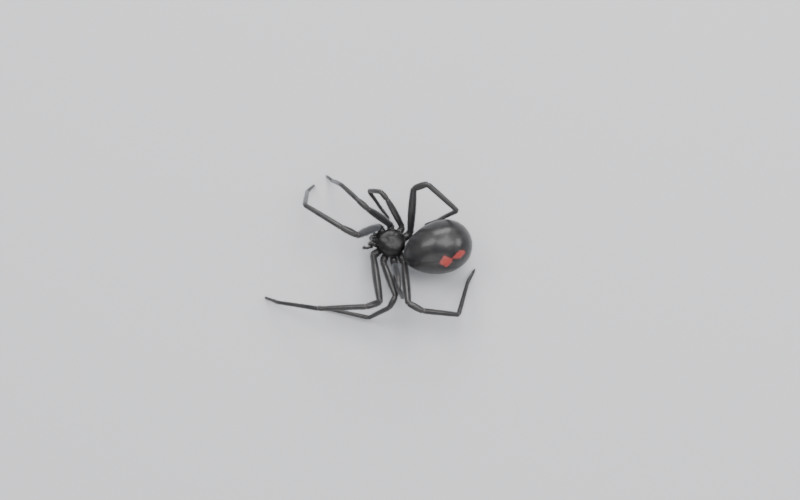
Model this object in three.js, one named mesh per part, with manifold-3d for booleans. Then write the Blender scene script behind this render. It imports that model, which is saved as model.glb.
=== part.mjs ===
// A black widow spider, an adult female, as a still life-size model standing on its eight feet.
// Millimetres, +Z up. The head points towards -X. The model stands on z = 0.
// Every leg is a chain of segments, each turned by its own heading and rise.
import * as THREE from 'three';
import * as BufferGeometryUtils from 'three/addons/utils/BufferGeometryUtils.js';
import Module from 'manifold-3d';

const wasm = await Module();
wasm.setup();

// Driving dimensions of the body
const CARAPACE_LENGTH = 3.8;
const CARAPACE_WIDTH = 3.3;
const CARAPACE_HEAD_WIDTH = 1.75;
const CARAPACE_HEIGHT = 1.0;
const CARAPACE_RIM_Z = 2.6;
const CARAPACE_RIM_DEPTH = 0.2;
const FOVEA_BACK = 0.35;
const FOVEA_DEPTH = 0.2;
const STERNUM_LENGTH = 2.3;
const STERNUM_WIDTH = 1.75;
const STERNUM_FLOOR_Z = 1.4;
const STERNUM_BACK = 0.35;
const EYE_RADIUS = 0.1;
const ABDOMEN_LENGTH = 7.7;
const ABDOMEN_WIDTH = 5.7;
const ABDOMEN_HEIGHT = 5.9;
const ABDOMEN_EGG = 0.16;
const ABDOMEN_CENTRE = new THREE.Vector3(5.45, -0.9, 3.6);
const ABDOMEN_HEADING = 18;
const ABDOMEN_ROLL = 46;
const SPINNERET_RADIUS = 0.2;
const SPINNERET_LENGTH = 0.75;
const CHELICERA_LENGTH = 1.25;
const CHELICERA_RADIUS = 0.31;
const FANG_LENGTH = 0.4;
const PEDICEL_RADIUS = 0.26;
const PEDICEL_Z = 2.0;
const BODY_HEADING = 168;
const JOINT_GAP = 0.15;

// Driving dimensions of the legs, from the front pair to the rear pair
const LEG_LENGTHS = [
  { femur: 6.4, patella: 1.9, tibia: 5.4, metatarsus: 5.8, tarsus: 2.2 },
  { femur: 4.6, patella: 1.5, tibia: 3.4, metatarsus: 4.1, tarsus: 1.8 },
  { femur: 3.7, patella: 1.2, tibia: 2.4, metatarsus: 2.9, tarsus: 1.5 },
  { femur: 6.1, patella: 1.8, tibia: 4.6, metatarsus: 5.0, tarsus: 1.9 },
];
const LEG_RADII = [
  { coxa: 0.43, femur: 0.43, patella: 0.37, tibia: 0.31, metatarsus: 0.25, tarsus: 0.21 },
  { coxa: 0.4, femur: 0.4, patella: 0.34, tibia: 0.28, metatarsus: 0.24, tarsus: 0.2 },
  { coxa: 0.38, femur: 0.37, patella: 0.32, tibia: 0.27, metatarsus: 0.23, tarsus: 0.2 },
  { coxa: 0.43, femur: 0.43, patella: 0.37, tibia: 0.31, metatarsus: 0.25, tarsus: 0.21 },
];
// Where each coxa leaves the sternum and where its trochanter ends: forward, sideways and up
const COXA_ROOTS = [[0.7, 0.9, 2], [-0.02, 1.14, 1.98], [-0.8, 1.1, 1.98], [-1.42, 0.72, 1.98]];
const HIPS = [[1.36, 1.7, 2.38], [0.12, 2.2, 2.1], [-1.2, 2.22, 2.15], [-2.2, 1.72, 2.15]];
const FOOT_Z = 0.12;

// The pose: each segment's heading in the plan and its rise, in degrees, and the height of
// the joint between the metatarsus and the tarsus. The last two segments find their own slope.
const POSE = {
  r1: { femur: [231, 58], patella: [156, 15], tibia: [144, -18], heel: [95, 1.78], toe: 66 },
  r2: { femur: [166, 57], patella: [141, 19], tibia: [130, -28], heel: [127, 1.35], toe: 127 },
  r3: { femur: [124, 36], patella: [130, 14], tibia: [154, -47], heel: [314, 0.77], toe: 313 },
  r4: { femur: [86, 54], patella: [8, 33], tibia: [324, -26], heel: [174, 1.52], toe: 179 },
  l1: { femur: [279, 22], patella: [206, 35], tibia: [179, -17], heel: [165, 1.35], toe: 153 },
  l2: { femur: [290, 18], patella: [240, -14], tibia: [196, -46], heel: [167, 0.55], toe: 164 },
  l3: { femur: [282, 52], patella: [268, 4], tibia: [315, -72], heel: [110, 0.78], toe: 104 },
  l4: { femur: [274, 30], patella: [330, 8], tibia: [0, -30], heel: [74, 0.79], toe: 61 },
};

const ROUND = 10;
const UP = new THREE.Vector3(0, 0, 1);

function material(colour, roughness) {
  return new THREE.MeshStandardMaterial({ color: colour, roughness, metalness: 0 });
}

const blackShell = () => material(0x141314, 0.22);
const blackLeg = () => material(0x1b1a1c, 0.3);
const brownShell = () => material(0x241a16, 0.3);

const degrees = THREE.MathUtils.degToRad;

function pointing(heading, rise) {
  const flat = Math.cos(degrees(rise));
  return new THREE.Vector3(
    flat * Math.cos(degrees(heading)), flat * Math.sin(degrees(heading)), Math.sin(degrees(rise)));
}

// A closed skin over rings of points, each ring with the same count, closed by a point at each end
function skin(rings, first, last) {
  const count = rings[0].length;
  const positions = [];
  const index = [];
  for (const ring of rings) {
    for (const p of ring) positions.push(p.x, p.y, p.z);
  }
  const start = rings.length * count;
  positions.push(first.x, first.y, first.z, last.x, last.y, last.z);
  for (let r = 0; r + 1 < rings.length; r += 1) {
    for (let i = 0; i < count; i += 1) {
      const a = r * count + i;
      const b = r * count + ((i + 1) % count);
      index.push(a, b, b + count, a, b + count, a + count);
    }
  }
  const tail = (rings.length - 1) * count;
  for (let i = 0; i < count; i += 1) {
    const j = (i + 1) % count;
    index.push(start, j, i);
    index.push(start + 1, tail + i, tail + j);
  }
  const geometry = new THREE.BufferGeometry();
  geometry.setAttribute('position', new THREE.Float32BufferAttribute(positions, 3));
  geometry.setIndex(index);
  return geometry;
}

// Exact joining of closed geometries
function toSolid(geometry) {
  const bare = geometry.clone();
  bare.deleteAttribute('normal');
  bare.deleteAttribute('uv');
  const merged = BufferGeometryUtils.mergeVertices(bare, 1e-5);
  return new wasm.Manifold(new wasm.Mesh({
    numProp: 3,
    vertProperties: new Float32Array(merged.attributes.position.array),
    triVerts: new Uint32Array(merged.index.array),
  }));
}

function toGeometry(solid) {
  const largest = solid.decompose().sort((a, b) => b.volume() - a.volume())[0];
  const mesh = largest.getMesh();
  const geometry = new THREE.BufferGeometry();
  geometry.setAttribute('position', new THREE.BufferAttribute(new Float32Array(mesh.vertProperties), 3));
  geometry.setIndex(new THREE.BufferAttribute(new Uint32Array(mesh.triVerts), 1));
  return geometry;
}

function fuse(geometries) {
  const [first, ...rest] = geometries.map(toSolid);
  return toGeometry(rest.reduce((whole, piece) => whole.add(piece), first));
}

// A tapering limb along a curve. The radius at each station is radiusAt(t), and an end may be
// cut on a slanted plane, so that it meets its neighbour face to face.
function limb({ start, end, radiusAt, startCut, endCut, bow = 0, stations = 5, flat = 1 }) {
  const axis = end.clone().sub(start);
  const length = axis.length();
  axis.normalize();
  const side = new THREE.Vector3().crossVectors(axis, UP).normalize();
  if (side.lengthSq() < 0.5) side.set(1, 0, 0);
  const back = new THREE.Vector3().crossVectors(side, axis);
  const lead = (cut, r) => {
    if (!cut) return 0.08;
    const slant = Math.acos(Math.min(1, Math.abs(cut.dot(axis))));
    return JOINT_GAP / 2 + r * Math.tan(slant) + 0.06;
  };
  const inner = lead(startCut, radiusAt(0)) / length;
  const outer = 1 - lead(endCut, radiusAt(1)) / length;
  const places = [0];
  for (let i = 0; i < stations; i += 1) {
    places.push(THREE.MathUtils.lerp(inner, outer, i / (stations - 1)));
  }
  places.push(1);
  const slide = (point, plane, origin, offset) => {
    const off = offset - point.clone().sub(origin).dot(plane);
    return point.addScaledVector(axis, off / axis.dot(plane));
  };
  const rings = places.map((t, k) => {
    const centre = start.clone().lerp(end, t).addScaledVector(back, bow * 4 * t * (1 - t));
    const ring = [];
    for (let i = 0; i < ROUND; i += 1) {
      const turn = (2 * Math.PI * i) / ROUND;
      const point = centre.clone()
        .addScaledVector(side, Math.cos(turn) * radiusAt(t))
        .addScaledVector(back, -Math.sin(turn) * radiusAt(t) * flat);
      if (k === 0 && startCut) slide(point, startCut, start, JOINT_GAP / 2);
      if (k === places.length - 1 && endCut) slide(point, endCut, end, -JOINT_GAP / 2);
      ring.push(point);
    }
    return ring;
  });
  const middle = (ring) => ring.reduce((sum, p) => sum.add(p), new THREE.Vector3())
    .divideScalar(ring.length);
  return skin(rings, middle(rings[0]), middle(rings[rings.length - 1]));
}

// The head and thorax, in a frame of their own: forward along +X, with its left along +Y
const front = pointing(BODY_HEADING, 0);
const left = new THREE.Vector3(-front.y, front.x, 0);
const inBody = (ahead, sideways, z) => new THREE.Vector3()
  .addScaledVector(front, ahead)
  .addScaledVector(left, sideways)
  .setZ(z);

function mesh(name, geometry, finish) {
  const piece = new THREE.Mesh(geometry, finish);
  piece.name = name;
  return piece;
}

function carapaceHalfWidth(ahead) {
  const u = THREE.MathUtils.clamp(ahead / (CARAPACE_LENGTH / 2), -1, 1);
  const thorax = (CARAPACE_WIDTH / 2) * Math.sqrt(Math.max(0, 1 - ((u + 0.22) / 0.8) ** 2));
  const head = u > -0.3 ? (CARAPACE_HEAD_WIDTH / 2) * Math.max(0, 1 - Math.abs(u) ** 7) ** 0.5 : 0;
  return Math.max(thorax, head);
}

function carapaceTop(ahead, sideways) {
  const u = ahead / (CARAPACE_LENGTH / 2);
  const v = sideways / (CARAPACE_WIDTH / 2);
  const dome = 0.86 * Math.sqrt(Math.max(0, 1 - 0.62 * u * u - 0.95 * v * v));
  const headRidge = 0.16 * Math.exp(-(((u - 0.45) / 0.4) ** 2) - (v / 0.42) ** 2);
  const pit = FOVEA_DEPTH * Math.exp(-(((ahead + FOVEA_BACK) / 0.34) ** 2) - (sideways / 0.22) ** 2);
  return CARAPACE_RIM_Z + CARAPACE_HEIGHT * (dome + headRidge) - pit;
}

function carapaceShell() {
  const around = 36;
  const levels = [1, 0.95, 0.84, 0.68, 0.5, 0.32, 0.15];
  const outline = [];
  for (let i = 0; i < around; i += 1) {
    const turn = (2 * Math.PI * i) / around;
    const ahead = (CARAPACE_LENGTH / 2) * Math.cos(turn) * 0.999;
    const reach = carapaceHalfWidth(ahead) * Math.sign(Math.sin(turn) || 1);
    outline.push([ahead, Math.abs(Math.sin(turn)) < 1e-6 ? 0 : reach]);
  }
  const ringAt = (scale, height) => outline.map(([a, s]) => inBody(a * scale, s * scale, height(a, s)));
  const rings = [ringAt(0.9, () => CARAPACE_RIM_Z)];
  rings.push(ringAt(1, () => CARAPACE_RIM_Z + CARAPACE_RIM_DEPTH / 2));
  for (const scale of levels) {
    rings.push(ringAt(scale * 0.995, (a, s) => {
      const top = carapaceTop(a * scale, s * scale);
      return Math.max(top, CARAPACE_RIM_Z + CARAPACE_RIM_DEPTH);
    }));
  }
  return skin(rings, inBody(0, 0, CARAPACE_RIM_Z), inBody(0, 0, carapaceTop(0, 0)));
}

function sphere(centre, radius, detail = 1) {
  return new THREE.IcosahedronGeometry(radius, detail).translate(centre.x, centre.y, centre.z);
}

// Two rows of four eyes, with the side eyes of the two rows well apart
function eyes() {
  const rows = [[1.72, 0.5, 0.17], [1.5, 0.62, 0.2]];
  const found = [];
  for (const [ahead, outer, inner] of rows) {
    for (const sideways of [-outer, -inner, inner, outer]) {
      const set = ahead - 0.22 * (Math.abs(sideways) - inner);
      found.push(sphere(inBody(set, sideways, carapaceTop(set, sideways)), EYE_RADIUS));
    }
  }
  return found;
}

function carapace() {
  return mesh('carapace', fuse([carapaceShell(), ...eyes()]), blackShell());
}

function sternum() {
  const around = 20;
  const ring = (scale, z) => {
    const points = [];
    for (let i = 0; i < around; i += 1) {
      const turn = (2 * Math.PI * i) / around;
      const ahead = Math.cos(turn);
      const pear = 1 + 0.18 * ahead;
      points.push(inBody((STERNUM_LENGTH / 2) * ahead * scale - STERNUM_BACK,
        (STERNUM_WIDTH / 2) * Math.sin(turn) * pear * scale, z));
    }
    return points;
  };
  const top = CARAPACE_RIM_Z - JOINT_GAP;
  const rings = [ring(0.7, STERNUM_FLOOR_Z), ring(0.95, STERNUM_FLOOR_Z + 0.15),
    ring(1, STERNUM_FLOOR_Z + 0.4), ring(1, top)];
  const shape = skin(rings, inBody(-STERNUM_BACK, 0, STERNUM_FLOOR_Z - 0.04), inBody(-STERNUM_BACK, 0, top));
  return mesh('sternum', shape, brownShell());
}

function chelicera(side) {
  const sign = side === 'l' ? 1 : -1;
  const root = inBody(1.72, sign * 0.36, CARAPACE_RIM_Z - JOINT_GAP);
  const tip = root.clone().add(inBody(0.42, 0, -CHELICERA_LENGTH));
  const jaw = limb({
    start: root, end: tip, stations: 6,
    radiusAt: (t) => CHELICERA_RADIUS * (1 - 0.35 * t * t) * (0.86 + 0.5 * t * (1 - t)),
  });
  const knuckle = tip.clone().lerp(root, 0.12);
  const fang = limb({
    start: knuckle, end: knuckle.clone().add(inBody(-0.12, -sign * 0.16, -FANG_LENGTH)),
    stations: 3, radiusAt: (t) => 0.13 * (1 - 0.75 * t),
  });
  return mesh(`chelicera_${side}`, fuse([jaw, fang]), blackShell());
}

// A palp: a short bent feeler of four segments beside each jaw
function palp(side) {
  const sign = side === 'l' ? 1 : -1;
  const route = [
    inBody(1.88, sign * 0.88, 2.2),
    inBody(2.22, sign * 1.04, 2.32),
    inBody(2.52, sign * 1, 2.1),
    inBody(2.62, sign * 0.88, 1.5),
    inBody(2.62, sign * 0.76, 0.85),
  ];
  const pieces = [];
  const radii = [0.15, 0.17, 0.18, 0.17, 0.1];
  for (let i = 0; i + 1 < route.length; i += 1) {
    pieces.push(limb({
      start: route[i], end: route[i + 1], stations: 4,
      radiusAt: (t) => THREE.MathUtils.lerp(radii[i], radii[i + 1], t) + 0.1 * t * (1 - t),
    }));
    if (i > 0) pieces.push(sphere(route[i], radii[i] * 0.97));
  }
  return mesh(`palp_${side}`, fuse(pieces), blackLeg());
}

// The abdomen, in a frame of its own: from its front end along +X to its rear, its back along +Z
const abdomenFrame = new THREE.Matrix4()
  .makeTranslation(ABDOMEN_CENTRE)
  .multiply(new THREE.Matrix4().makeRotationZ(degrees(ABDOMEN_HEADING)))
  .multiply(new THREE.Matrix4().makeRotationX(degrees(ABDOMEN_ROLL)));
const inAbdomen = (along, sideways, above) => new THREE.Vector3(along, sideways, above)
  .applyMatrix4(abdomenFrame);

function abdomenReach(u) {
  return Math.sqrt(Math.max(0, 1 - u * u)) * (1 + ABDOMEN_EGG * u);
}

// The egg-shaped skin of the abdomen, or one that stands clear of it by a given distance
function abdomenShell(clear = 0) {
  const around = 36;
  const slices = 24;
  const half = ABDOMEN_LENGTH / 2 + clear;
  const rings = [];
  for (let k = 1; k < slices; k += 1) {
    const u = -Math.cos((Math.PI * k) / slices);
    const ring = [];
    for (let i = 0; i < around; i += 1) {
      const turn = (2 * Math.PI * i) / around;
      const above = Math.sin(turn) * (ABDOMEN_HEIGHT / 2 + clear) * abdomenReach(u);
      const sideways = Math.cos(turn) * (ABDOMEN_WIDTH / 2 + clear) * abdomenReach(u);
      ring.push(inAbdomen(u * half, sideways, above));
    }
    rings.push(ring);
  }
  return skin(rings, inAbdomen(-half, 0, 0), inAbdomen(half, 0, 0));
}

function abdomen() {
  return mesh('abdomen', abdomenShell(), blackShell());
}

const clearOfAbdomen = (geometry) => toGeometry(
  toSolid(geometry).subtract(toSolid(abdomenShell(JOINT_GAP))));

function abdomenSurface(u, turn) {
  const reach = abdomenReach(u);
  return inAbdomen((u * ABDOMEN_LENGTH) / 2,
    Math.sin(turn) * (ABDOMEN_WIDTH / 2) * reach, Math.cos(turn) * (ABDOMEN_HEIGHT / 2) * reach);
}

// Six spinnerets in a tight cluster at the rear of the underside
function spinnerets() {
  const base = abdomenSurface(0.8, Math.PI);
  const out = base.clone().sub(inAbdomen(0, 0, 0)).normalize();
  const across = new THREE.Vector3().crossVectors(out, UP).normalize();
  const along = new THREE.Vector3().crossVectors(across, out);
  const pieces = [limb({
    start: base.clone().addScaledVector(out, -0.2),
    end: base.clone().addScaledVector(out, 0.42),
    stations: 3,
    radiusAt: (t) => 0.52 - 0.06 * t,
  })];
  for (const [a, b, size] of [[-1, 1, 1], [1, 1, 1], [-0.5, 0, 0.7], [0.5, 0, 0.7], [-1, -1, 0.95], [1, -1, 0.95]]) {
    const foot = base.clone().addScaledVector(out, 0.2)
      .addScaledVector(across, a * 0.24).addScaledVector(along, b * 0.24);
    pieces.push(limb({
      start: foot,
      end: foot.clone().addScaledVector(out, SPINNERET_LENGTH * size)
        .addScaledVector(across, -a * 0.05).addScaledVector(along, -b * 0.05),
      stations: 3,
      radiusAt: (t) => SPINNERET_RADIUS * size * (1 - 0.45 * t),
    }));
  }
  return mesh('spinnerets', clearOfAbdomen(fuse(pieces)), brownShell());
}

// The narrow stalk between the two halves of the body, bent towards the underside of the abdomen
function pedicel() {
  const start = inBody(-1.66, 0, PEDICEL_Z);
  const bend = inBody(-2.22, 0.16, PEDICEL_Z);
  const goal = abdomenSurface(-0.93, Math.PI);
  const fore = limb({ start, end: bend, stations: 3, radiusAt: () => PEDICEL_RADIUS });
  const hind = limb({ start: bend, end: goal, stations: 3, radiusAt: () => PEDICEL_RADIUS });
  const stalk = fuse([fore, sphere(bend, PEDICEL_RADIUS * 0.98), hind]);
  return mesh('pedicel', clearOfAbdomen(stalk), brownShell());
}

// A leg: coxa, femur, patella, tibia, metatarsus and tarsus
function legJoints(name, rank, sign) {
  const lengths = LEG_LENGTHS[rank];
  const pose = POSE[name];
  const joints = [COXA_ROOTS, HIPS].map((places) => {
    const [ahead, aside, z] = places[rank];
    return inBody(ahead, sign * aside, z);
  });
  const step = (heading, rise, length) => {
    const from = joints[joints.length - 1];
    joints.push(from.clone().addScaledVector(pointing(heading, rise), length));
  };
  const stepTo = (heading, z, length) => {
    const drop = THREE.MathUtils.clamp((z - joints[joints.length - 1].z) / length, -0.97, 0.97);
    step(heading, THREE.MathUtils.radToDeg(Math.asin(drop)), length);
  };
  step(...pose.femur, lengths.femur);
  step(...pose.patella, lengths.patella);
  step(...pose.tibia, lengths.tibia);
  stepTo(...pose.heel, lengths.metatarsus);
  stepTo(pose.toe, FOOT_Z, lengths.tarsus);
  return joints;
}

const SHAPES = {
  coxa: (t) => 0.66 + 0.5 * t - 0.16 * t * t,
  femur: (t) => 0.72 + 1.1 * t * (1 - t) + 0.02 * t,
  patella: (t) => 0.84 + 0.55 * t * (1 - t) - 0.02 * t,
  tibia: (t) => 0.92 + 0.3 * t * (1 - t) - 0.16 * t,
  metatarsus: (t) => 1 - 0.22 * t,
  tarsus: (t) => 1 - 0.42 * t,
};
const BOWS = { coxa: 0, femur: 0.12, patella: 0.05, tibia: 0.06, metatarsus: 0.08, tarsus: 0.03 };

function cutBetween(before, joint, after) {
  const incoming = joint.clone().sub(before).normalize();
  const outgoing = after.clone().sub(joint).normalize();
  return incoming.add(outgoing).normalize();
}

function rested(geometry) {
  const position = geometry.attributes.position;
  for (let i = 0; i < position.count; i += 1) {
    position.setZ(i, Math.max(0, position.getZ(i)));
  }
  return geometry;
}

function leg(name, rank, sign) {
  const whole = new THREE.Group();
  const joints = legJoints(name, rank, sign);
  Object.keys(SHAPES).forEach((part, i) => {
    const radius = LEG_RADII[rank][part];
    const startCut = i > 0 ? cutBetween(joints[i - 1], joints[i], joints[i + 1]) : null;
    const endCut = i < 5 ? cutBetween(joints[i], joints[i + 1], joints[i + 2]) : null;
    const shape = limb({
      start: joints[i], end: joints[i + 1], startCut, endCut, bow: BOWS[part],
      radiusAt: (t) => radius * SHAPES[part](t),
    });
    const solid = part === 'tarsus' ? rested(shape) : shape;
    whole.add(mesh(`leg_${name}_${part}`, solid, blackLeg()));
  });
  return whole;
}

const spider = new THREE.Group();
spider.add(carapace(), sternum(), pedicel(), abdomen(), spinnerets());
for (const side of ['l', 'r']) {
  spider.add(chelicera(side), palp(side));
  for (let rank = 0; rank < 4; rank += 1) {
    spider.add(leg(`${side}${rank + 1}`, rank, side === 'l' ? 1 : -1));
  }
}

// The origin is at the middle of the footprint, on the level that the feet stand on
const extent = new THREE.Box3().setFromObject(spider);
spider.position.set(-(extent.min.x + extent.max.x) / 2, -(extent.min.y + extent.max.y) / 2, -extent.min.z);

export default spider;
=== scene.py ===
import math

import bpy
import numpy as np
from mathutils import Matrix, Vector


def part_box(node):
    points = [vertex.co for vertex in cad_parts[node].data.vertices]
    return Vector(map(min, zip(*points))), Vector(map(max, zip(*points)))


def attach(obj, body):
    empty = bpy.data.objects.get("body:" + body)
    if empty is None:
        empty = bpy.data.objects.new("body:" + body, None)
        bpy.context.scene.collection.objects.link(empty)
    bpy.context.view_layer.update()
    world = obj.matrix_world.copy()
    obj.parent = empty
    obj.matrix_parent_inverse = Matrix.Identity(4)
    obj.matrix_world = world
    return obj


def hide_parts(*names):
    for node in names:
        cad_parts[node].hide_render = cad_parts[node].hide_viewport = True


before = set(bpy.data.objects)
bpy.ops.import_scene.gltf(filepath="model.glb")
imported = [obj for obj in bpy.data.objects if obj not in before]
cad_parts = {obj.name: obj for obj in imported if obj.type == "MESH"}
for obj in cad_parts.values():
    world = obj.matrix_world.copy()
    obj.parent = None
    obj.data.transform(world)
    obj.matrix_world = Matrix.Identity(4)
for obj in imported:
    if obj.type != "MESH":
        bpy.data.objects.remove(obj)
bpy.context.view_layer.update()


# The camera looks down on the spider's back from a hand's breadth away, with the head to the
# left. It keeps the photograph's frame, so the thorax falls on the same pixel there.
PICTURE_WIDTH = 800
PICTURE_HEIGHT = 500
THORAX_PIXEL = (388, 243)
LOOK_DOWN = math.radians(75)
CAMERA_DISTANCE = 0.100
FOCAL_PIXELS = 900
FILM_WIDTH_MM = 36
STERNUM_BACK = 0.00035
THORAX_BELOW_SHIELD = 0.0002
UP = Vector((0, 0, 1))


def node_corners(node):
    """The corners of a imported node's triangles, in metres."""
    mesh = bpy.data.objects[node].data
    points = np.empty(len(mesh.vertices) * 3)
    mesh.vertices.foreach_get("co", points)
    return points.reshape(-1, 3)


sideways = node_corners("chelicera_l").mean(axis=0) - node_corners("chelicera_r").mean(axis=0)
LEFT = Vector((sideways[0], sideways[1], 0)).normalized()
FRONT = Vector((LEFT.y, -LEFT.x, 0))
sternum_middle = node_corners("sternum").mean(axis=0)
carapace_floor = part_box("carapace")[0].z
thorax = Vector((sternum_middle[0], sternum_middle[1], carapace_floor - THORAX_BELOW_SHIELD))
thorax = thorax + FRONT * STERNUM_BACK
metres_per_pixel = CAMERA_DISTANCE / FOCAL_PIXELS
right_of_thorax = (PICTURE_WIDTH / 2 - THORAX_PIXEL[0]) * metres_per_pixel
below_thorax = (PICTURE_HEIGHT / 2 - THORAX_PIXEL[1]) * metres_per_pixel / math.sin(LOOK_DOWN)
aim = thorax + Vector((right_of_thorax, -below_thorax, 0))
camera_data = bpy.data.cameras.new("camera")
camera_data.lens = FILM_WIDTH_MM * FOCAL_PIXELS / PICTURE_WIDTH
camera_data.sensor_width = FILM_WIDTH_MM
camera_data.clip_start = 0.001
camera_data.clip_end = 10
camera = bpy.data.objects.new("camera", camera_data)
camera.location = aim + CAMERA_DISTANCE * Vector((0, -math.cos(LOOK_DOWN), math.sin(LOOK_DOWN)))
camera.rotation_euler = (math.pi / 2 - LOOK_DOWN, 0, 0)
bpy.context.collection.objects.link(camera)
bpy.context.scene.camera = camera


# A plain pale floor and the soft lights of a small studio. The panels overhead and behind give
# the soft patches that the photograph shows on both body parts. The round floor ends where its
# light has faded to about that of the room. A panel's row holds its place, width and power.
FLOOR_RADIUS = 0.52
FLOOR_SIDES = 96
FLOOR_COLOUR = (0.44, 0.44, 0.45, 1)
FLOOR_ROUGHNESS = 0.85
ROOM_COLOUR = (0.78, 0.83, 0.92, 1)
ROOM_STRENGTH = 0.50
PANELS = {
    "panel_overhead": ((0.06, 0.05, 0.30), 0.25, 1.05),
    "panel_behind": ((-0.01, 0.34, 0.20), 0.25, 1.5),
    "panel_right": ((0.26, 0.03, 0.19), 0.15, 0.5),
    "panel_left": ((-0.18, 0.10, 0.28), 0.18, 0.65),
    "panel_front": ((-0.05, -0.40, 0.22), 0.50, 1.1),
}
PANEL_DEPTH_SHARE = 0.8

floor_mesh = bpy.data.meshes.new("floor")
floor_turns = np.arange(FLOOR_SIDES) * math.tau / FLOOR_SIDES
floor_rim = [(FLOOR_RADIUS * math.cos(turn), FLOOR_RADIUS * math.sin(turn), 0) for turn in floor_turns]
floor_mesh.from_pydata(floor_rim, [], [range(FLOOR_SIDES)])
floor = bpy.data.objects.new("floor", floor_mesh)
bpy.context.collection.objects.link(floor)
floor_finish = bpy.data.materials.new("floor")
floor_finish.use_nodes = True
floor_shader = floor_finish.node_tree.nodes["Principled BSDF"]
floor_shader.inputs["Base Color"].default_value = FLOOR_COLOUR
floor_shader.inputs["Roughness"].default_value = FLOOR_ROUGHNESS
floor_mesh.materials.append(floor_finish)

room = bpy.data.worlds.new("studio")
room.use_nodes = True
room.node_tree.nodes["Background"].inputs["Color"].default_value = ROOM_COLOUR
room.node_tree.nodes["Background"].inputs["Strength"].default_value = ROOM_STRENGTH
bpy.context.scene.world = room
for panel_name, (place, width, power) in PANELS.items():
    panel_data = bpy.data.lights.new(panel_name, "AREA")
    panel_data.shape = "RECTANGLE"
    panel_data.size = width
    panel_data.size_y = width * PANEL_DEPTH_SHARE
    panel_data.energy = power
    panel = bpy.data.objects.new(panel_name, panel_data)
    panel.location = place
    panel.rotation_euler = (thorax - panel.location).to_track_quat("-Z", "Y").to_euler()
    panel.visible_camera = False
    bpy.context.collection.objects.link(panel)


# The carapace is the hard shield over the head and thorax: one pear-shaped plate of thick glossy
# cuticle with a raised head, a pit in the middle of the back and shallow grooves towards the legs.
# A groove's row says how far ahead and aside it ends, in millimetres, and its share of the depth.
MM = 0.001
CARAPACE_LENGTH = 0.0038
CARAPACE_WIDTH = 0.0033
CARAPACE_HEIGHT = 0.0010
THORAX_MIDDLE = -0.22
THORAX_REACH = 0.8
DOME_RISE = 0.86
HEAD_START = -0.3
HEAD_WIDTH = 0.00175
HEAD_BLUNTNESS = 7
HEAD_RISE = 0.16
HEAD_RIDGE = (0.45, 0.4, 0.42)
PIT_PLACE = -0.00035
PIT_DEPTH = 0.00009
PIT_LENGTH = 0.26 * MM
PIT_WIDTH = 0.36 * MM
GROOVE_DEPTH = 0.000010
GROOVE_WIDTH = 0.13 * MM
GROOVE_START = 0.28
GROOVES = ((0.75, 1.0, 1.6), (0.1, 1.5, 1.0), (-0.75, 1.45, 1.0), (-1.5, 0.9, 1.0))
RIM_DEPTH = 0.0002
RIM_STEPS = ((0.80, 0.5), (0.88, 0.15), (0.95, 0.0), (0.985, 0.12), (1.0, 0.4), (0.998, 0.7))
INSIDE_RIM = 0.992
DOME_RINGS = 72
AROUND_CARAPACE = 160
FIRST_FURRED_RING = 11
CARAPACE_FUR = 0.7
CLOUD_SCALE = 900
CLOUD_STOPS = (0.35, 0.68)
POLISH = (0.8, 1.25)
GRAIN_SCALE = 9000
GRAIN_DEPTH = 0.00002
GRAIN_STRENGTH = 0.35
PIT_SHARE = 0.4
SWELL_SHARE = 0.35
FILM_ROUGHNESS = 0.08
SHEEN_ROUGHNESS = 0.4
SHEEN_TINT = (0.86, 0.91, 1.0, 1)


def in_body(ahead, aside, z):
    """Places on the head and thorax: ahead of and to the left of its middle, and above the floor."""
    ahead, aside, z = np.broadcast_arrays(ahead, aside, z)
    x = thorax.x + ahead * FRONT.x + aside * LEFT.x
    y = thorax.y + ahead * FRONT.y + aside * LEFT.y
    return np.stack([x, y, z], axis=-1)


def bell(distance, width):
    """A smooth bump: 1 at no distance, and nearly nothing at twice the width."""
    return np.exp(-(distance / width) ** 2)


def to_line(x, y, start, end):
    """Distance in the plan from each point to a straight line between two places."""
    (x0, y0), (x1, y1) = start, end
    along = ((x - x0) * (x1 - x0) + (y - y0) * (y1 - y0)) / ((x1 - x0) ** 2 + (y1 - y0) ** 2)
    along = np.clip(along, 0, 1)
    return np.hypot(x - x0 - along * (x1 - x0), y - y0 - along * (y1 - y0))


def carapace_outline(turns, share):
    """Places round the shield's edge, at a share of its length: an oval thorax and a blunt head."""
    ahead = CARAPACE_LENGTH / 2 * share * np.cos(turns)
    u = np.clip(ahead / (CARAPACE_LENGTH / 2), -1, 1)
    oval = np.sqrt(np.maximum(0, 1 - ((u - THORAX_MIDDLE) / THORAX_REACH) ** 2))
    blunt = np.sqrt(np.maximum(0, 1 - np.abs(u) ** HEAD_BLUNTNESS))
    half_width = np.maximum(CARAPACE_WIDTH / 2 * oval, np.where(u > HEAD_START, HEAD_WIDTH / 2 * blunt, 0))
    return ahead, half_width * np.sign(np.round(np.sin(turns), 9))


def carapace_top(ahead, aside):
    """Height of the shield: a low dome, the ridge of the head, the pit and the grooves."""
    u = ahead / (CARAPACE_LENGTH / 2)
    v = aside / (CARAPACE_WIDTH / 2)
    dome = DOME_RISE * np.sqrt(np.maximum(0, 1 - 0.62 * u * u - 0.95 * v * v))
    place, length, width = HEAD_RIDGE
    ridge = HEAD_RISE * np.exp(-((u - place) / length) ** 2 - (v / width) ** 2)
    pit = PIT_DEPTH * bell(ahead - PIT_PLACE, PIT_LENGTH) * bell(aside, PIT_WIDTH)
    z = carapace_floor + CARAPACE_HEIGHT * (dome + ridge) - pit
    for reach, spread, share in GROOVES:
        near_pit = (PIT_PLACE + GROOVE_START * (reach * MM - PIT_PLACE), GROOVE_START * spread * MM)
        groove = to_line(ahead, np.abs(aside), near_pit, (reach * MM, spread * MM))
        z -= share * GROOVE_DEPTH * bell(groove, GROOVE_WIDTH)
    return z


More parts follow.
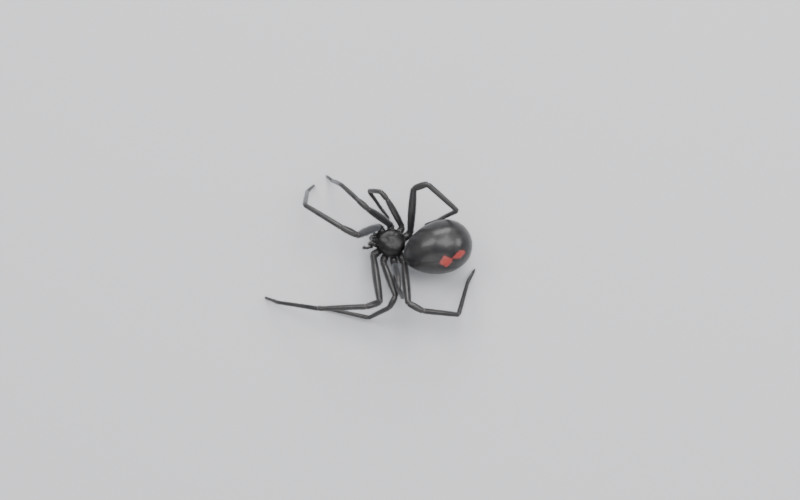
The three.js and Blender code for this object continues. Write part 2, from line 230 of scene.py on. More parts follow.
def skin(name, rings, finish, first=None, last=None, marks=None):
    """A closed smooth surface over rings of points, with a single point at each end.

    Its map, called unwrap, runs round each ring and along the rings. marks are values that the
    surface carries at each point of the rings, by name, for its material and its bristles."""
    rings = np.asarray(rings)
    count, around = rings.shape[:2]
    ends = [rings[0].mean(axis=0) if first is None else first,
            rings[-1].mean(axis=0) if last is None else last]
    points = np.concatenate([rings.reshape(-1, 3), np.array(ends)])
    front_pole, rear_pole = count * around, count * around + 1
    faces, patches = [], []
    for ring in range(count - 1):
        near, far = ring * around, (ring + 1) * around
        low, high = (ring + 1) / (count + 1), (ring + 2) / (count + 1)
        for i in range(around):
            j = (i + 1) % around
            faces.append([near + i, near + j, far + j, far + i])
            patches.append([(i / around, low), ((i + 1) / around, low),
                            ((i + 1) / around, high), (i / around, high)])
    low, high = 1 / (count + 1), count / (count + 1)
    for i in range(around):
        j = (i + 1) % around
        faces.append([front_pole, j, i])
        patches.append([((i + 0.5) / around, 0), ((i + 1) / around, low), (i / around, low)])
        faces.append([rear_pole, (count - 1) * around + i, (count - 1) * around + j])
        patches.append([((i + 0.5) / around, 1), (i / around, high), ((i + 1) / around, high)])
    middle = points.mean(axis=0)
    volume = 0
    for face in faces[::3]:
        spokes = points[face] - middle
        for k in range(1, len(face) - 1):
            volume += np.dot(spokes[0], np.cross(spokes[k], spokes[k + 1]))
    if volume < 0:
        faces = [face[::-1] for face in faces]
        patches = [patch[::-1] for patch in patches]
    mesh = bpy.data.meshes.new(name)
    mesh.from_pydata(points.tolist(), [], faces)
    flat_patches = [spot for patch in patches for spot in patch]
    mesh.uv_layers.new(name="unwrap").data.foreach_set("uv", np.array(flat_patches).ravel())
    for mark, values in (marks or {}).items():
        flat = np.asarray(values, dtype=float).reshape(count * around, -1)
        at_poles = [flat[:around].mean(axis=0), flat[-around:].mean(axis=0)]
        flat = np.concatenate([flat, at_poles])
        kind, field = ("FLOAT_VECTOR", "vector") if flat.shape[1] == 3 else ("FLOAT", "value")
        mesh.attributes.new(mark, kind, "POINT").data.foreach_set(field, flat.ravel())
    mesh.shade_smooth()
    mesh.materials.append(finish)
    piece = bpy.data.objects.new(name, mesh)
    bpy.context.collection.objects.link(piece)
    return piece


def add_node(tree, kind, sockets=None, **settings):
    """Puts a node in a tree. Each socket gets a plain value or a link from another node's output."""
    node = tree.nodes.new(kind)
    for setting, value in settings.items():
        setattr(node, setting, value)
    for socket, value in (sockets or {}).items():
        if isinstance(value, bpy.types.NodeSocket):
            tree.links.new(value, node.inputs[socket])
        else:
            node.inputs[socket].default_value = value
    return node


def tone_ramp(tree, amount, *stops):
    """A run of colours along an amount, from pairs of place and colour."""
    ramp = add_node(tree, "ShaderNodeValToRGB", {"Fac": amount})
    elements = ramp.color_ramp.elements
    for element, (position, colour) in zip(elements, (stops[0], stops[-1])):
        element.position = position
        element.color = colour
    for position, colour in stops[1:-1]:
        elements.new(position).color = colour
    return ramp.outputs["Color"]


def cuticle(name, dark, light, roughness, relief=1.0, coat=0.12, joints=None, sheen=0.0, ior=1.5):
    """Hard glossy cuticle: two close tones in soft clouds, a fine pitted relief and a clear waxy film.

    joints is the colour of the thin skin between plates, where the piece marks it."""
    finish = bpy.data.materials.new(name)
    finish.use_nodes = True
    tree = finish.node_tree
    shader = tree.nodes["Principled BSDF"]
    shader.inputs["IOR"].default_value = ior
    shader.inputs["Coat Weight"].default_value = coat
    shader.inputs["Coat Roughness"].default_value = FILM_ROUGHNESS
    if sheen:
        shader.inputs["Sheen Weight"].default_value = sheen
        shader.inputs["Sheen Roughness"].default_value = SHEEN_ROUGHNESS
        shader.inputs["Sheen Tint"].default_value = SHEEN_TINT
    place = add_node(tree, "ShaderNodeTexCoord").outputs["Object"]
    clouds = add_node(tree, "ShaderNodeTexNoise", {"Vector": place, "Scale": CLOUD_SCALE, "Detail": 4})
    clouds = clouds.outputs["Fac"]
    colour = tone_ramp(tree, clouds, (CLOUD_STOPS[0], (*dark, 1)), (CLOUD_STOPS[1], (*light, 1)))
    if joints:
        mark = add_node(tree, "ShaderNodeAttribute", attribute_name="joint")
        blend = add_node(tree, "ShaderNodeMix", {
            "Factor": mark.outputs["Fac"], "A": colour, "B": (*joints, 1)}, data_type="RGBA")
        colour = blend.outputs["Result"]
    tree.links.new(colour, shader.inputs["Base Color"])
    polish = add_node(tree, "ShaderNodeMapRange", {
        "Value": clouds, "To Min": roughness * POLISH[0], "To Max": roughness * POLISH[1]})
    tree.links.new(polish.outputs["Result"], shader.inputs["Roughness"])
    pits = add_node(tree, "ShaderNodeTexVoronoi", {"Vector": place, "Scale": GRAIN_SCALE})
    swell = add_node(tree, "ShaderNodeTexNoise", {
        "Vector": place, "Scale": GRAIN_SCALE * SWELL_SHARE, "Detail": 5})
    grain = add_node(tree, "ShaderNodeMath", {
        0: pits.outputs["Distance"], 1: PIT_SHARE, 2: swell.outputs["Fac"]}, operation="MULTIPLY_ADD")
    bump = add_node(tree, "ShaderNodeBump", {
        "Height": grain.outputs["Value"], "Strength": GRAIN_STRENGTH * relief,
        "Distance": GRAIN_DEPTH})
    tree.links.new(bump.outputs["Normal"], shader.inputs["Normal"])
    return finish


def dress(piece, slot, *replaced):
    """Fixes a finished piece to the model and hides the imported parts that it replaces. slot is not used.
    """
    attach(piece, "root")
    if replaced:
        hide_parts(*replaced)
    return piece


shell_finish = cuticle("shell", dark=(0.005, 0.0045, 0.0045), light=(0.011, 0.0095, 0.009),
                       roughness=0.34, coat=0.03, ior=1.32)
carapace_turns = np.linspace(0, 2 * math.pi, AROUND_CARAPACE, endpoint=False)
outline_ahead, outline_aside = carapace_outline(carapace_turns, 0.999)
carapace_rings = [
    in_body(outline_ahead * scale, outline_aside * scale, carapace_floor + rise * RIM_DEPTH)
    for scale, rise in RIM_STEPS
]
rim_top = carapace_floor + RIM_DEPTH
for scale in np.sin(np.linspace(math.pi / 2, 0.02, DOME_RINGS)):
    ahead, aside = outline_ahead * scale * INSIDE_RIM, outline_aside * scale * INSIDE_RIM
    shoulder = math.sqrt(1 - scale ** 15)
    height = rim_top + np.maximum(carapace_top(ahead, aside) - rim_top, 0) * shoulder
    carapace_rings.append(in_body(ahead, aside, height))
carapace_fur = np.zeros((len(carapace_rings), AROUND_CARAPACE))
carapace_fur[FIRST_FURRED_RING:] = CARAPACE_FUR
rearwards = np.broadcast_to(-np.array(FRONT), (*carapace_fur.shape, 3))
carapace = skin("carapace_shell", carapace_rings, shell_finish,
                marks={"furred": carapace_fur, "lie": rearwards})
dress(carapace, "shell", "carapace")


# Eight small clear-lensed eyes stand in two rows of four across the front of the head. Each lens
# is part of the same hard skin, set in a low ring of it. A row holds how far ahead it lies and
# how far aside its outer and inner eyes are, in millimetres.
EYE_RADIUS = 0.0001
EYE_ROWS = ((1.72, 0.50, 0.17), (1.50, 0.62, 0.20))
EYE_SET_BACK = 0.22
EYE_SUNK = 0.05
EYE_PROFILE = ((-0.3, 1.25), (0.05, 1.22), (0.22, 1.12), (0.30, 1.00), (0.32, 0.94), (0.52, 0.86),
               (0.73, 0.68), (0.88, 0.45), (0.95, 0.2))
AROUND_EYE = 24


def lathe(name, base, axis, profile, finish, around):
    """A small round part turned about an axis from its base, from pairs of distance and radius."""
    axis = Vector(axis).normalized()
    across = axis.orthogonal().normalized()
    other = axis.cross(across)
    rings = []
    for distance, radius in profile:
        ring = []
        for i in range(around):
            angle = 2 * math.pi * i / around
            ring.append(Vector(base) + axis * distance
                        + (across * math.cos(angle) + other * math.sin(angle)) * radius)
        rings.append(ring)
    first = Vector(base) + axis * profile[0][0]
    last = Vector(base) + axis * profile[-1][0]
    lie = np.broadcast_to(np.array(axis), (len(profile), around, 3))
    return skin(name, rings, finish, first, last, {"lie": lie, "furred": np.ones((len(profile), around))})


def joined(name, parts):
    """One mesh from several pieces, such as the eyes, which keep their own closed surfaces."""
    with bpy.context.temp_override(active_object=parts[0], selected_editable_objects=parts):
        bpy.ops.object.join()
    parts[0].name = name
    parts[0].data.name = name
    return parts[0]


def carapace_normal(ahead, aside):
    """The direction that the shield faces at a place."""
    step = 0.02 * MM
    slope_ahead = (carapace_top(ahead + step, aside) - carapace_top(ahead - step, aside)) / (2 * step)
    slope_aside = (carapace_top(ahead, aside + step) - carapace_top(ahead, aside - step)) / (2 * step)
    return (UP - FRONT * float(slope_ahead) - LEFT * float(slope_aside)).normalized()


eye_finish = cuticle("eye", dark=(0.004, 0.0035, 0.004), light=(0.010, 0.008, 0.009),
                     roughness=0.05, relief=0.05, coat=1.0)
lens = [(EYE_RADIUS * distance, EYE_RADIUS * radius) for distance, radius in EYE_PROFILE]
eyes = []
for row_ahead, outer, inner in EYE_ROWS:
    for row_aside in (-outer, -inner, inner, outer):
        ahead = (row_ahead - EYE_SET_BACK * (abs(row_aside) - inner)) * MM
        aside = row_aside * MM
        outward = carapace_normal(ahead, aside)
        surface = in_body(ahead, aside, float(carapace_top(ahead, aside)))
        root = Vector(surface.tolist()) - outward * EYE_SUNK * MM
        eyes.append(lathe("eye", root, outward, lens, eye_finish, AROUND_EYE))
dress(joined("eyes", eyes), "eyes", "carapace")


# Soft brown skin closes the flank between the shield above and the plate below, and the legs'
# roots come out of it. It wrinkles a little where it folds under the shield.
STERNUM_LENGTH = 0.0023
STERNUM_WIDTH = 0.00175
STERNUM_TAPER = 0.18
FLANK_FOOT = 0.22 * MM
FLANK_FOOT_SHARE = 1.02
FLANK_HEAD = 0.12 * MM
FLANK_HEAD_SHARE = 0.95
FLANK_CURVE = 0.75
FLANK_TUCK = 0.90
FLANK_SWELL = 0.10 * MM
FLANK_WRINKLE = 0.012 * MM
FLANK_WRINKLE_TURNS = 40
FLANK_RINGS = 26
AROUND_FLANK = 96

flank_finish = cuticle("flank_skin", dark=(0.012, 0.009, 0.008), light=(0.030, 0.022, 0.019),
                       roughness=0.5, relief=2.2, coat=0.0)
sternum_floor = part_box("sternum")[0].z
flank_turns = np.linspace(0, 2 * math.pi, AROUND_FLANK, endpoint=False)
low_ahead = STERNUM_LENGTH / 2 * np.cos(flank_turns) * FLANK_FOOT_SHARE - STERNUM_BACK
low_aside = STERNUM_WIDTH / 2 * np.sin(flank_turns) * (1 + STERNUM_TAPER * np.cos(flank_turns))
low_aside = low_aside * FLANK_FOOT_SHARE
high_ahead, high_aside = carapace_outline(flank_turns, FLANK_HEAD_SHARE)
flank_foot = sternum_floor + FLANK_FOOT
flank_head = carapace_floor + FLANK_HEAD
flank_rings = []
for share in np.linspace(0, 1, FLANK_RINGS):
    swell = FLANK_SWELL * math.sin(math.pi * share)
    swell += FLANK_WRINKLE * math.sin(FLANK_WRINKLE_TURNS * share)
    blend = share ** FLANK_CURVE
    ahead = low_ahead + (high_ahead * FLANK_TUCK - low_ahead) * blend
    aside = low_aside + (high_aside * FLANK_TUCK - low_aside) * blend
    stretch = 1 + swell / np.hypot(ahead, aside)
    height = flank_foot + (flank_head - flank_foot) * share
    flank_rings.append(in_body(ahead * stretch, aside * stretch, height))
dress(skin("flank", flank_rings, flank_finish), "underside", "sternum")


# The sternum is the hard heart-shaped plate on the underside of the thorax, with the lip and the
# two mouth plates hinged to its front edge. All are cuticle like the shield, but browner.
PLATE_PROFILE = ((0.5, -0.6), (0.9, -0.6), (0.985, -0.35), (1.0, -0.1), (0.985, 0.18), (0.93, 0.42),
                 (0.84, 0.60), (0.7, 0.76), (0.52, 0.88), (0.33, 0.95), (0.15, 0.99), (0.05, 1.0))
AROUND_PLATE = 64
plate_finish = cuticle("plate", dark=(0.011, 0.008, 0.007), light=(0.026, 0.018, 0.015),
                       roughness=0.30, relief=1.2)


def plate(name, ahead, aside, above, length, width, depth, lean=0.0, taper=0.0):
    """A low domed plate on the underside, rounded edge up and dome down. Sizes are in millimetres,
    and above is the height of its edge over the lowest point of the sternum."""
    angle = np.linspace(0, 2 * math.pi, AROUND_PLATE, endpoint=False)
    rings = []
    for scale, drop in PLATE_PROFILE:
        along = length * MM / 2 * np.cos(angle) * scale
        across = width * MM / 2 * np.sin(angle) * (1 + taper * np.cos(angle)) * scale
        height = sternum_floor + above * MM - depth * MM * drop + lean * along
        rings.append(in_body(ahead * MM + along, aside * MM + across, height))
    dress(skin(name, rings, plate_finish), "underside", "sternum")


plate("sternum_plate", -STERNUM_BACK / MM, 0, 0.16, length=STERNUM_LENGTH / MM * 0.98,
      width=STERNUM_WIDTH / MM * 0.98, depth=0.17, taper=STERNUM_TAPER)
plate("lip", 0.94, 0, 0.28, length=0.36, width=0.5, depth=0.12, lean=-0.2, taper=-0.2)
for side, sign in (("l", 1), ("r", -1)):
    plate("mouth_plate_" + side, 1.18, sign * 0.33, 0.36, length=0.78, width=0.44, depth=0.2,
          lean=-0.12, taper=0.1)


# Each jaw is a stout upright cone of black cuticle below the eyes. A short curved fang, dark red
# and polished, folds in against its lower end. Routes are in millimetres: ahead, aside and up,
# the jaw's from the shield's lower edge and the fang's from the end of the jaw.
JAW_ROUTE = ((1.50, 0.36, 0.35), (1.62, 0.36, 0.0), (1.84, 0.36, -0.42), (2.05, 0.34, -0.95),
             (2.10, 0.31, -1.34))
JAW_RADIUS = 0.00031
JAW_TUCK = 0.02 * MM
JAW_RINGS = 44
AROUND_JAW = 32
FANG_ROUTE = ((0.02, 0.02, 0.10), (0.06, 0.01, -0.10), (0.0, -0.06, -0.26), (-0.14, -0.12, -0.36),
              (-0.24, -0.15, -0.38))
FANG_RADIUS = 0.000095
FANG_RINGS = 26
AROUND_FANG = 20
BLUNT_END = 0.25


def line_frames(points):
    """Two directions across a line at each of its points, which turn as little as they can."""
    points = np.asarray(points)
    tangents = np.gradient(points, axis=0)
    tangents /= np.linalg.norm(tangents, axis=1)[:, None]
    across = np.cross(tangents[0], (0, 0, 1))
    if np.linalg.norm(across) < 0.1:
        across = np.cross(tangents[0], (1, 0, 0))
    sides = []
    for tangent in tangents:
        across = across - tangent * np.dot(across, tangent)
        across /= np.linalg.norm(across)
        sides.append(across)
    sides = np.array(sides)
    return tangents, sides, np.cross(tangents, sides)


def limb(name, points, radii, finish, around, marks=None, lowest=None):
    """A closed limb along a line, with its girth at each point of it. lowest is as low as it goes."""
    points, radii = np.asarray(points), np.asarray(radii)
    tangents, sides, others = line_frames(points)
    angle = np.linspace(0, 2 * math.pi, around, endpoint=False)
    ring = (np.cos(angle)[None, :, None] * sides[:, None]
            + np.sin(angle)[None, :, None] * others[:, None])
    rings = points[:, None] + ring * radii[:, None, None]
    carried = {"lie": np.repeat(tangents[:, None], around, axis=1)}
    for mark, values in (marks or {}).items():
        carried[mark] = np.repeat(np.asarray(values)[:, None], around, axis=1)
    first = points[0] - tangents[0] * radii[0] * BLUNT_END
    last = points[-1] + tangents[-1] * radii[-1] * BLUNT_END
    if lowest is not None:
        rings[..., 2] = np.maximum(rings[..., 2], lowest)
        last[2] = max(last[2], lowest)
    return skin(name, rings, finish, first, last, carried)


def curve_through(places, count):
    """A smooth line through a few places, spaced evenly."""
    places = np.asarray([list(place) for place in places])
    padded = np.concatenate([[2 * places[0] - places[1]], places, [2 * places[-1] - places[-2]]])
    line = []
    steps = max(8, count)
    for k in range(len(places) - 1):
        a, b, c, d = padded[k:k + 4]
        t = np.linspace(0, 1, steps, endpoint=False)[:, None]
        line.append(0.5 * (2 * b + (c - a) * t + (2 * a - 5 * b + 4 * c - d) * t ** 2
                           + (3 * b - a - 3 * c + d) * t ** 3))
    line = np.concatenate(line + [places[-1:]])
    length = np.concatenate([[0], np.cumsum(np.linalg.norm(np.diff(line, axis=0), axis=1))])
    even = np.linspace(0, length[-1], count)
    return np.stack([np.interp(even, length, line[:, axis]) for axis in range(3)], axis=1)


def body_route(route, sign, level):
    """A route's places on one side of the body, from a level. sign is 1 on the left, -1 on the right."""
    return [in_body(ahead * MM, sign * aside * MM, level + up * MM) for ahead, aside, up in route]


jaw_finish = cuticle("jaw", dark=(0.008, 0.006, 0.0055), light=(0.020, 0.012, 0.010), roughness=0.24)
fang_finish = cuticle("fang", dark=(0.030, 0.007, 0.004), light=(0.085, 0.020, 0.010),
                      roughness=0.12, relief=0.2, coat=0.6)
jaws = {}
for side, sign in (("l", 1), ("r", -1)):
    jaw_line = curve_through(body_route(JAW_ROUTE, sign, carapace_floor - JAW_TUCK), JAW_RINGS)
    t = np.linspace(0, 1, JAW_RINGS)
    jaw_girth = JAW_RADIUS * (0.80 + 0.95 * t * (1 - t)) * (1 - 0.42 * t ** 3)
    jaw_girth *= np.sqrt(np.clip((1 - t) / 0.07, 0.05, 1))
    jaws[side] = limb("jaw_" + side, jaw_line, jaw_girth, jaw_finish, AROUND_JAW,
                      {"furred": np.clip((t - 0.25) * 4, 0, 1)})
    dress(jaws[side], "shell", "chelicera_" + side)
    knuckle = jaw_line[-4] - in_body(0, 0, 0)
    fang_route = [knuckle + place for place in body_route(FANG_ROUTE, sign, 0)]
    fang_line = curve_through(fang_route, FANG_RINGS)
    t = np.linspace(0, 1, FANG_RINGS)
    fang = limb("fang_" + side, fang_line, FANG_RADIUS * (1 - 0.93 * t ** 1.3), fang_finish, AROUND_FANG)
    dress(fang, "claws", "chelicera_" + side)


# The palps are a pair of short jointed feelers beside the jaws, black and finely bristled. They
# hang bent, as at rest. The route is in millimetres, from a level below the shield, and the
# girths are evenly spaced along it. A joint is a share of the palp's length.
PALP_ROUTE = ((1.60, 0.74, 2.20), (1.88, 0.88, 2.26), (2.22, 1.04, 2.32), (2.52, 1.00, 2.10),
              (2.62, 0.88, 1.50), (2.62, 0.76, 0.85))
PALP_LEVEL = 0.0026
PALP_GIRTHS = (0.13, 0.15, 0.165, 0.175, 0.165, 0.075)
PALP_JOINTS = (0.14, 0.30, 0.46, 0.68)
PALP_RINGS = 130
AROUND_PALP = 24
SKIN_SHOWS = 0.8

leg_finish = cuticle("leg", dark=(0.009, 0.0085, 0.009), light=(0.021, 0.0185, 0.0185),
                     roughness=0.38, joints=(0.030, 0.018, 0.014), sheen=0.35)
palps = {}
for side, sign in (("l", 1), ("r", -1)):
    palp_line = curve_through(body_route(PALP_ROUTE, sign, carapace_floor - PALP_LEVEL), PALP_RINGS)
    t = np.linspace(0, 1, PALP_RINGS)
    girth = np.interp(t, np.linspace(0, 1, len(PALP_GIRTHS)), PALP_GIRTHS) * MM
    soft = np.zeros_like(t)
    for joint in PALP_JOINTS:
        soft = np.maximum(soft, bell(t - joint, 0.022))
        girth *= 1 - 0.20 * bell(t - joint - 0.008, 0.016) + 0.05 * bell(t - joint + 0.03, 0.02)
    girth *= np.sqrt(np.clip((1 - t) / 0.02, 0.1, 1))
    palps[side] = limb("palp_skin_" + side, palp_line, girth, leg_finish, AROUND_PALP,
                       {"joint": soft * SKIN_SHOWS, "furred": 1 - soft})
    dress(palps[side], "legs", "palp_" + side)


# A short bent stalk of tough folded skin, the waist, carries the abdomen behind the thorax. Fine
# rings run round it where it folds. It ends inside the abdomen, so that shape is given here.
WAIST_RADIUS = 0.00027
WAIST_ROUTE = ((-1.5, 0, -0.55), (-2.2, 0.14, -0.58))
WAIST_RINGS = 60
AROUND_WAIST = 32
PLACE_OF_WAIST = -0.90
WAIST_REACH = 0.15 * MM
ABDOMEN_LENGTH = 0.0077
ABDOMEN_WIDTH = 0.0057
ABDOMEN_HEIGHT = 0.0059
ABDOMEN_EGG = 0.16
ABDOMEN_ROLL = math.radians(46)


def busiest_corners(node):
    """The two points of a node where most of its triangles meet: a limb's flat ends, or its poles."""
    corners, shared = np.unique(np.round(node_corners(node), 8), axis=0, return_counts=True)
    return corners[np.argsort(shared)[-2:]]


poles = busiest_corners("abdomen")
poles = poles[np.argsort(np.linalg.norm(poles - np.array(thorax), axis=1))]
abdomen_centre = poles.mean(axis=0)
rearward = (poles[1] - poles[0]) / np.linalg.norm(poles[1] - poles[0])
level_side = np.cross((0, 0, 1), rearward)
abdomen_back = np.cross(rearward, level_side) * math.cos(ABDOMEN_ROLL)
abdomen_back = abdomen_back - level_side * math.sin(ABDOMEN_ROLL)
abdomen_side = np.cross(abdomen_back, rearward)


def on_abdomen(u, angle, lift=0.0):
    """Places on the abdomen: u is -1 in front and 1 behind, and angle is from the middle of the back."""
    u, angle, lift = np.broadcast_arrays(u, angle, lift)
    reach = np.sqrt(np.maximum(0, 1 - u * u)) * (1 + ABDOMEN_EGG * u)
    along = u * ABDOMEN_LENGTH / 2
    across = np.sin(angle) * ABDOMEN_WIDTH / 2 * reach
    above = np.cos(angle) * ABDOMEN_HEIGHT / 2 * reach
    outward = np.stack([along / ABDOMEN_LENGTH ** 2, across / ABDOMEN_WIDTH ** 2,
                        above / ABDOMEN_HEIGHT ** 2], axis=-1)
    outward /= np.maximum(np.linalg.norm(outward, axis=-1), 1e-12)[..., None]
    local = np.stack([along, across, above], axis=-1) + outward * np.asarray(lift)[..., None]
    return abdomen_centre + local @ np.array([rearward, abdomen_side, abdomen_back])


waist_end = on_abdomen(PLACE_OF_WAIST, math.pi, -WAIST_REACH)
waist_line = curve_through([*body_route(WAIST_ROUTE, 1, carapace_floor), waist_end], WAIST_RINGS)
t = np.linspace(0, 1, WAIST_RINGS)
waist_girth = WAIST_RADIUS * (1.12 - 0.5 * t * (1 - t)) * (1 + 0.035 * np.sin(t * 75))
waist = limb("waist", waist_line, waist_girth, flank_finish, AROUND_WAIST)
dress(waist, "underside", "pedicel")


# The abdomen is a large, tight, egg-shaped bag of thin glossy black skin. It is tilted on its
# side, and carries orange-red marks along its back and an hourglass below. Rows are in
# millimetres: a dimple's place along and aside with its size, and a mark's place and half sizes.
ABDOMEN_RINGS = 220
AROUND_ABDOMEN = 256
SWELL_RISE = 0.018 * MM
RIPPLE_RISE = 0.010 * MM
DIMPLES = ((-1.25, 0.52, 0.15), (-0.15, 0.66, 0.17), (0.95, 0.72, 0.12), (1.9, 0.66, 0.10))
DIMPLE_DEPTH = 0.035 * MM
BACK_LINE_DEPTH = 0.02 * MM
BACK_LINE_WIDTH = 0.16 * MM
FURROW_PLACE = -1.35 * MM
FURROW_BOW = 0.09
FURROW_DEPTH = 0.07 * MM
FURROW_WIDTH = 0.07 * MM
FURROW_REACH = 1.7 * MM
LUNG_PLACE = -1.85 * MM
LUNG_ASIDE = 0.95 * MM
LUNG_HALF_LENGTH = 0.42
LUNG_HALF_WIDTH = 0.62
LUNG_RISE = 0.035 * MM
OPENING_PLACE = -1.52 * MM
OPENING_SIZE = 0.28 * MM
OPENING_RISE = 0.10 * MM
COLLAR_PLACE = 3.08 * MM
COLLAR_RADIUS = 0.62 * MM
COLLAR_WIDTH = 0.14 * MM
COLLAR_RISE = 0.07 * MM
MAIN_MARK = (0.15, -0.13, 0.80, 0.80)
REAR_MARK = (1.78, 0.12, 0.80, 0.46)
NECK_START = (0.5 * MM, -0.05 * MM)
NECK_END = (1.4 * MM, 0.08 * MM)
NECK_WIDTH = 0.13
MARK_SQUARENESS = 1.35
MARK_RISE = 0.012 * MM
HOURGLASS_PLACE = 0.75 * MM
HOURGLASS_WAIST = 0.14
HOURGLASS_FLARE = 0.55
HOURGLASS_REACH = 1.15
RED = (0.31, 0.026, 0.018, 1)
# A paler rose that is painted reflection: it stands for the whitish veil of light over the rear mark, and
# the main mark's edges pass through it too.
PAINTED_REFLECTION_ROSE = (0.26, 0.045, 0.04, 1)
DEEP_RED = (0.09, 0.009, 0.009, 1)

u = -np.cos(np.pi * np.arange(1, ABDOMEN_RINGS) / ABDOMEN_RINGS)[:, None]
angle = np.linspace(0, 2 * math.pi, AROUND_ABDOMEN, endpoint=False)[None, :]
u, angle = np.broadcast_arrays(u, angle)
reach = np.sqrt(np.maximum(0, 1 - u * u)) * (1 + ABDOMEN_EGG * u)
along = u * ABDOMEN_LENGTH / 2
across_back = ((angle + math.pi) % (2 * math.pi) - math.pi) * reach * ABDOMEN_WIDTH / 2
across_belly = (angle - math.pi) * reach * ABDOMEN_WIDTH / 2

lift = SWELL_RISE * np.sin(5.1 * u + 1.3 * np.sin(2 * angle)) * np.sin(3 * angle + 2.2 * u)
lift += RIPPLE_RISE * np.sin(11 * u + 4 * angle) * np.cos(7 * angle - 6 * u)
lift *= 1 - bell(1 - np.abs(u), 0.16)
for dimple_along, dimple_aside, dimple_size in DIMPLES:
    for sign in (-1, 1):
        dimple = np.hypot(along - dimple_along * MM, across_back - sign * dimple_aside * MM)
        lift -= DIMPLE_DEPTH * bell(dimple, dimple_size * MM)
lift -= BACK_LINE_DEPTH * bell(across_back, BACK_LINE_WIDTH) * np.clip(1 - (u + 0.3) ** 2 * 2, 0, 1)
furrow = along - FURROW_PLACE - FURROW_BOW * (across_belly / MM) ** 2 * MM
lift -= FURROW_DEPTH * bell(furrow, FURROW_WIDTH) * bell(across_belly, FURROW_REACH)
for sign in (-1, 1):
    lung = np.hypot((along - LUNG_PLACE) / LUNG_HALF_LENGTH,
                    (across_belly - sign * LUNG_ASIDE) / LUNG_HALF_WIDTH) / MM
    lift += LUNG_RISE * np.clip(1 - lung ** 4, 0, 1)
lift += OPENING_RISE * bell(np.hypot(along - OPENING_PLACE, across_belly * 0.7), OPENING_SIZE)
collar = np.hypot(along - COLLAR_PLACE, across_belly * 0.8) - COLLAR_RADIUS
lift += COLLAR_RISE * bell(collar, COLLAR_WIDTH)

mark_along, mark_across, half_long, half_wide = (value * MM for value in MAIN_MARK)
main_mark = 1 - (np.abs((along - mark_along) / half_long) ** MARK_SQUARENESS
                 + np.abs((across_back - mark_across) / half_wide) ** MARK_SQUARENESS
                 ) ** (1 / MARK_SQUARENESS)
mark_along, mark_across, half_long, half_wide = (value * MM for value in REAR_MARK)
rear_mark = 1 - np.hypot((along - mark_along) / half_long, (across_back - mark_across) / half_wide)
neck = NECK_WIDTH - to_line(along, across_back, NECK_START, NECK_END) / MM
from_waist = np.abs(along - HOURGLASS_PLACE) / MM
hourglass = np.minimum(HOURGLASS_WAIST + HOURGLASS_FLARE * from_waist - np.abs(across_belly) / MM,
                       HOURGLASS_REACH - from_waist)
# The rear mark is held to half weight, so that it shows mostly the rose of painted reflection rather than
# full red.
red_mark = np.maximum(np.maximum(np.maximum(main_mark * 0.8, rear_mark * 0.5), neck), hourglass)
lift += MARK_RISE * np.clip(red_mark * 6, 0, 1)


def paint_marks(finish):
    """Lays the red marks over the black, with an uneven darker edge, from the value called mark. A paler
    rose between the edge and the full red is painted reflection: the whitish veil of light over the rear
    mark.
    """
    tree = finish.node_tree
    shader = tree.nodes["Principled BSDF"]
    black = shader.inputs["Base Color"].links[0].from_socket
    place = add_node(tree, "ShaderNodeTexCoord").outputs["Object"]
    ragged = add_node(tree, "ShaderNodeTexNoise", {"Vector": place, "Scale": 3200, "Detail": 3})
    mark = add_node(tree, "ShaderNodeAttribute", attribute_name="mark")
    uneven = add_node(tree, "ShaderNodeMath", {
        0: ragged.outputs["Fac"], 1: 0.45, 2: mark.outputs["Fac"]}, operation="MULTIPLY_ADD")
    uneven = uneven.outputs["Value"]
    tones = tone_ramp(tree, uneven, (0.26, DEEP_RED), (0.42, PAINTED_REFLECTION_ROSE), (0.72, RED))
    edge = add_node(tree, "ShaderNodeMapRange", {"Value": uneven, "From Min": 0.21, "From Max": 0.28})
    blend = add_node(tree, "ShaderNodeMix", {
        "Factor": edge.outputs["Result"], "A": black, "B": tones}, data_type="RGBA")
    tree.links.new(blend.outputs["Result"], shader.inputs["Base Color"])


abdomen_finish = cuticle("abdomen", dark=(0.0075, 0.0072, 0.0075), light=(0.018, 0.0165, 0.0165),
                         roughness=0.36, sheen=0.08, ior=1.46)
paint_marks(abdomen_finish)
abdomen_marks = {
    "mark": red_mark,
    "lie": np.broadcast_to(rearward + 0.25 * abdomen_back, (*u.shape, 3)),
    "furred": np.clip(1 - bell(furrow, 0.09 * MM) * 1.2, 0, 1),
}
abdomen = skin("abdomen_skin", on_abdomen(u, angle, lift), abdomen_finish,
               on_abdomen(-1, 0), on_abdomen(1, 0), abdomen_marks)
dress(abdomen, "abdomen", "abdomen")


# Six spinnerets stand in a tight cluster at the rear of the underside, round a small middle
# tubercle. Each is a soft two-jointed cone of brown skin. Profiles are pairs of distance and
# radius in millimetres, and a spinneret's row says which way it stands from the middle and its size.
PLACE_OF_SPINNERETS = 0.80
SPINNERETS = ((-1, 1, 1), (1, 1, 1), (-0.5, 0, 0.7), (0.5, 0, 0.7), (-1, -1, 0.95), (1, -1, 0.95))
SPINNERET_SPREAD = 0.24
SPINNERET_LEAN = 0.10
COLLAR_PROFILE = ((-0.25, 0.50), (0.0, 0.58), (0.14, 0.56), (0.24, 0.49), (0.29, 0.38), (0.30, 0.2))
SPINNERET_PROFILE = ((0.0, 0.2), (0.1, 0.2), (0.26, 0.185), (0.40, 0.165), (0.45, 0.145), (0.48, 0.15),
                     (0.58, 0.14), (0.68, 0.105), (0.73, 0.06))
TUBERCLE_PROFILE = ((0.0, 0.14), (0.2, 0.13), (0.34, 0.10), (0.42, 0.05))

